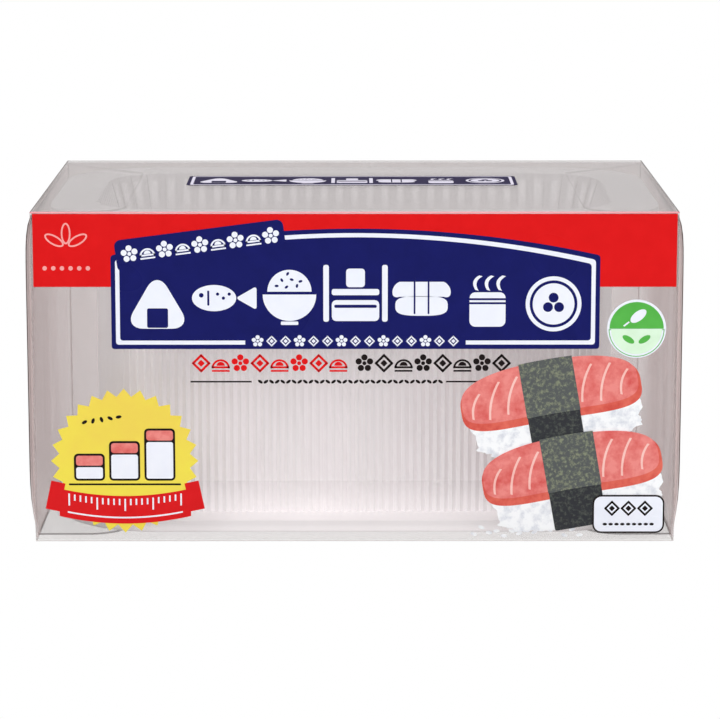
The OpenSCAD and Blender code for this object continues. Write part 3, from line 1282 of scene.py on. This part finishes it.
@dataclass
class Sheets:
    """The clear sheets of the carton, their bowed sides and the lines along their creases, which
    are partly whitening and partly painted highlight and shade.
    """

    width: float
    depth: float
    height: float
    film: float = 0.35
    bow: float = 2.9
    bow_power_across: int = 4
    bow_power_along: int = 12
    back_gap: float = 0.08
    glue_width: float = 17.5
    glue_gap: float = 0.2
    glue_ends: Span = (3, 9)

    def build(self) -> None:
        """Dresses the sheets and adds the sides and the creases."""
        # The back's edge-on painted shade is kept pale.
        back = {"streaks": 0.12, "edge": (226, 212, 210)}
        tuck = ClearSheet("clear_tuck", (252, 246, 245), 0.04, 0.12)
        for node, finish in (
            ("front_panel", ClearSheet("clear_front", (206, 194, 192), 0.07, 0.4)),
            ("back_panel", ClearSheet("clear_back", (216, 198, 196), 0.4, 0.7, **back)),
            # The lid's grey tint, which covers most at a glancing angle, is partly a painted
            # reflection.
            ("top_panel", ClearSheet("clear_lid", (158, 150, 149), 0.05, 0.6)),
            ("bottom_panel", ClearSheet("clear_floor", (250, 240, 237), 0.05, 0.3)),
            ("top_tuck_flap", tuck),
            ("bottom_tuck_flap", tuck),
        ):
            dress(node, finish)
        self.dust_flaps()
        self.sides()
        self.glue_strip()
        self.creases()

    def dust_flaps(self) -> None:
        """Dresses the dust flaps, whose cut edges are painted darker than their faces, as painted
        shade.
        """
        flap = ClearSheet("clear_flap", (200, 192, 190), 0.02, 0.2)
        for end, edge in (
            ("top", ClearSheet("soft_cut_edge", (160, 150, 149), 0.35, 0.45)),
            ("bottom", ClearSheet("cut_edge", (100, 90, 90), 0.7, 0.8)),
        ):
            for side in ("left", "right"):
                node = f"{end}_dust_flap_{side}"
                dress(node, flap)
                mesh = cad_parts[node].data
                mesh.materials.append(dressed(edge))
                for polygon in mesh.polygons:
                    polygon.material_index = int(abs(polygon.normal.z) < 0.5)

    def bowed_sheet(self, low: tuple, high: tuple, inside: float) -> Shape:
        """Makes a sheet that follows the bow of the right side, as the frame's own side does.

        Args:
            low: y of its front edge, then z of its lower edge at the front and the back.
            high: y of its back edge, then z of its upper edge at the front and the back.
            inside: distance of its outer face from the carton's outside.

        Returns:
            The closed sheet, in metres.
        """
        bm = bmesh.new()
        bmesh.ops.create_grid(bm, x_segments=28, y_segments=26, size=0.5)
        for vert in bm.verts:
            back, up = vert.co.x + 0.5, (1 + math.sin(math.pi * vert.co.y)) / 2
            pairs = ((low[0], high[0]), (low[1], low[2]), (high[1], high[2]))
            y, z0, z1 = (near + (far - near) * back for near, far in pairs)
            z = z0 + (z1 - z0) * up
            across = y / (self.depth / 2 - self.film)
            along = 2 * (z - 2 * self.film) / (self.height - 4 * self.film) - 1
            bow = self.bow * (1 - across**self.bow_power_across) * (1 - along**self.bow_power_along)
            vert.co = Vector((self.width / 2 - inside + bow, y, z)) * MM
        bmesh.ops.recalc_face_normals(bm, faces=bm.faces)
        thickened(bm, (-self.film * MM, 0, 0))
        for polygon in bm.faces:
            polygon.smooth = abs(polygon.normal.x) > 0.7
        return bm

    def sides(self) -> None:
        """Replaces both sides of the carton with smooth ones of the same form."""
        # Painted shade: a dark line where a side is seen edge-on, away from its front and back
        # ends.
        edges = {"edge": (84, 68, 64), "edge_span": (0.905, 0.945), "edge_reach": 31.5 * MM}
        finish = ClearSheet(
            "clear_side", (220, 200, 198), 0.15, 0.6, 0.1, streaks=0.12, specular=0.0, **edges
        )
        end = self.depth / 2 - self.film - self.back_gap
        z0, z1 = 2 * self.film, self.height - 2 * self.film
        for name, side in (("left", -1), ("right", 1)):
            bm = self.bowed_sheet((-end, z0, z0), (end, z1, z1), 0)
            if side < 0:
                bmesh.ops.scale(bm, vec=(-1, 1, 1), verts=bm.verts)
                bmesh.ops.recalc_face_normals(bm, faces=bm.faces)
            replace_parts(add_piece(f"{name}_side", bm, finish, Body.CARTON), f"{name}_panel")

    def glue_strip(self) -> None:
        """Replaces the glue flap with a smooth one of the same form."""
        # Its edge-on colour is painted shade.
        finish = ClearSheet("clear_glued", (246, 232, 230), 0.05, 0.3, edge=(190, 180, 178))
        front, (near, far) = self.film - self.depth / 2, self.glue_ends
        high = (front + self.glue_width, self.height - near, self.height - far)
        bm = self.bowed_sheet((front, near, far), high, self.film + self.glue_gap)
        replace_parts(add_piece("glue_strip", bm, finish, Body.CARTON), "glue_flap")

    def creases(self) -> None:
        """Adds the line along each crease, named by its axis and its two ends: whitening of the
        scored sheet, with a painted highlight along the lid's front crease and painted dark lines
        along the lid's sides.
        """
        soft = {"edge_span": (0.99, 0.995)}
        faint = ClearSheet("crease_faint", (196, 186, 184), 0.2, 0.5, specular=0.05)
        faintest = ClearSheet("crease_faintest", (222, 206, 204), 0.02, 0.1, **soft)
        # The lid's front crease: whitening over the red print, brightened as a painted highlight.
        light = ClearSheet("crease_whitening_and_highlight", (250, 168, 176), 0.85, 0.95, **soft)
        # Painted shade: the dark line where the lid's sides are seen edge-on.
        shade_line = ClearSheet("crease_painted_shade", (132, 126, 124), 0.3, 0.7, specular=0.0)
        pale = ClearSheet("crease_pale", (240, 234, 231), 0.35, 0.6, **soft)
        for name, body, finish, edges in (
            ("front_uprights", Body.CARTON, faint, ((2, 0, 0), (2, 1, 0))),
            ("back_uprights", Body.CARTON, faintest, ((2, 0, 1), (2, 1, 1))),
            ("lid_front", Body.LID, light, ((0, 0, 1),)),
            ("lid_back", Body.LID, faint, ((0, 1, 1),)),
            ("lid_sides", Body.LID, shade_line, ((1, 0, 1), (1, 1, 1))),
            ("base", Body.BASE, pale, ((0, 0, 0), (0, 1, 0), (1, 0, 0), (1, 1, 0))),
        ):
            lines = [self.crease_line(*edge) for edge in edges]
            add_piece(f"crease_{name}", join(lines), finish, body)

    def crease_line(self, axis: int, *ends: int) -> Shape:
        """Makes a thin rounded strip along an edge of the carton.

        Args:
            axis: 0, 1 or 2, for an edge along X, Y or Z.
            ends: for each other axis, 0 where the edge lies at its low end, 1 at its high end.

        Returns:
            The closed strip, in metres.
        """
        reach, proud, round_from, round_mid = 0.28, 0.03, 0.1, 0.16
        end_gap = 0.45 if axis == 2 else 0.05
        w, d = self.width / 2, self.depth / 2
        box = ((-w, w), (-d, d), (0, self.height))
        start, along, u, v = (Vector((0, 0, 0)) for _ in range(4))
        start[axis] = box[axis][0] + end_gap
        along[axis] = box[axis][1] - box[axis][0] - 2 * end_gap
        for other, end, inwards in zip((i for i in range(3) if i != axis), ends, (u, v)):
            start[other] = box[other][end]
            inwards[other] = 1 - 2 * end
        ring = (
            u * reach + v * proud,
            u * reach,
            u * round_from,
            v * round_from,
            v * reach,
            v * reach + u * proud,
            (u + v) * round_mid,
        )
        corner = start - (u + v) * proud
        bm = bmesh.new()
        bm.faces.new([bm.verts.new((corner + point) * MM) for point in ring])
        return thickened(bm, along * MM)


# ---------------------------------------------------------------- studio


@dataclass
class Studio:
    """Camera, lamps, floor and sky. Lengths are in metres, angles in degrees."""

    target: Vector = field(default_factory=lambda: Vector((0.00106, 0.0, 0.02748)))
    distance: float = 0.6208
    elevation: float = 10.63
    yaw: float = -0.11
    focal_px: float = 3121.0
    picture_px: float = 720.0
    sensor: float = 36.0
    # Each lamp: its name, its place, the side of its square and its power in watts.
    lamps: tuple = (
        ("key", (-0.5, -0.75, 0.85), 0.55, 3.9),
        ("fill", (0.75, -0.6, 0.45), 0.6, 2.9),
        ("overhead", (0.0, 0.1, 0.9), 0.7, 4.2),
    )
    floor_size: float = 3.0
    floor_shade: float = 0.9
    sky_light: float = 0.47

    def build(self) -> None:
        """Sets up the whole studio."""
        bpy.context.scene.view_settings.view_transform = "Standard"
        self.camera()
        self.floor()
        self.sky()
        for name, place, size, power in self.lamps:
            data = bpy.data.lights.new(name, "AREA")
            data.shape = "SQUARE"
            data.size = size
            data.energy = power
            lamp = placed(name, data)
            lamp.location = place
            facing = Vector(place) - self.target
            lamp.rotation_euler = facing.to_track_quat("Z", "Y").to_euler()

    def camera(self) -> None:
        """Places the camera where the photograph was taken from."""
        data = bpy.data.cameras.new("camera")
        data.sensor_width = self.sensor
        data.sensor_fit = "HORIZONTAL"
        data.lens = self.focal_px / self.picture_px * self.sensor
        data.clip_start = 0.01
        tilt, turn = math.radians(self.elevation), math.radians(self.yaw)
        flat = math.cos(tilt)
        back = Vector((math.sin(turn) * flat, -math.cos(turn) * flat, math.sin(tilt)))
        camera = placed("camera", data)
        camera.location = self.target + back * self.distance
        camera.rotation_euler = back.to_track_quat("Z", "Y").to_euler()
        bpy.context.scene.camera = camera

    def floor(self) -> None:
        """Lays the plain pale floor, which lights the object from below and shows white."""
        material, nodes, shader = start_material("floor")
        shade = (*[self.floor_shade] * 3, 1)
        nodes.feed(shader, {"Base Color": shade, "Roughness": 0.9, "Specular IOR Level": 0.0})
        white = nodes.add("Emission")
        self.show_white(nodes, shader, white, "Material Output")
        bm = bmesh.new()
        bmesh.ops.create_grid(bm, x_segments=1, y_segments=1, size=self.floor_size)
        placed("floor", as_mesh("floor", bm, material))

    def sky(self) -> None:
        """Lights the studio evenly and shows white behind the object."""
        world = bpy.data.worlds.new("studio")
        bpy.context.scene.world = world
        world.use_nodes = True
        nodes = Nodes(world.node_tree)
        soft = nodes.tree.nodes["Background"]
        nodes.feed(soft, {"Color": (1, 1, 1, 1), "Strength": self.sky_light})
        white = nodes.add("Background", {"Strength": 1.0})
        self.show_white(nodes, soft, white, "World Output")

    def show_white(self, nodes: Nodes, lit: Node, white: Node, output: str) -> None:
        """Shows white to rays that see the background, and the lit shader to all others.

        Args:
            nodes: the nodes of the floor or the sky.
            lit: the shader that lights the object.
            white: the white shader.
            output: name of the output node.
        """
        path = nodes.add("LightPath").outputs
        kinds = ("Is Camera Ray", "Is Glossy Ray", "Is Transmission Ray")
        seen = nodes.maths("MAXIMUM", *(path[kind] for kind in kinds), clamp=False)
        mix = nodes.add("MixShader", {0: seen, 1: lit.outputs[0], 2: white.outputs[0]})
        nodes.feed(nodes.tree.nodes[output], {"Surface": mix.outputs[0]})


def main() -> None:
    """Builds the looks in order."""
    logging.basicConfig(level=logging.INFO, format="%(message)s")
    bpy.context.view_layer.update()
    front_low, front_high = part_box("front_panel")
    lid_low, lid_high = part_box("top_panel")
    width = (front_high.x - front_low.x) / MM
    depth = (lid_high.y - lid_low.y) / MM
    height = lid_high.z / MM
    front = PrintFace(Body.CARTON, Vector((0, front_low.y, 0)), Vector((0, 0, 1)))
    lid = PrintFace(Body.LID, Vector((0, 0, lid_high.z)), Vector((0, 1, 0)))
    Studio().build()
    Sheets(width, depth, height).build()
    crest_highlights = PaintedCrestHighlights()
    dress("mould_frame", Frosted("frosted_frame", (232, 228, 229), 0.93, 0.34, 0.56, crest_highlights))
    dress("press", Frosted("frosted_press", (228, 226, 227), 0.95, 0.3, 0.04))
    RedBand(front, width=width, height=height).build()
    for build in (TitlePlate, SignLine, StarBadge, LeafSeal, FoodPicture, WhitePlate):
        build(front).build()
    LidPlate(lid).build()


if __name__ == "__main__":
    main()
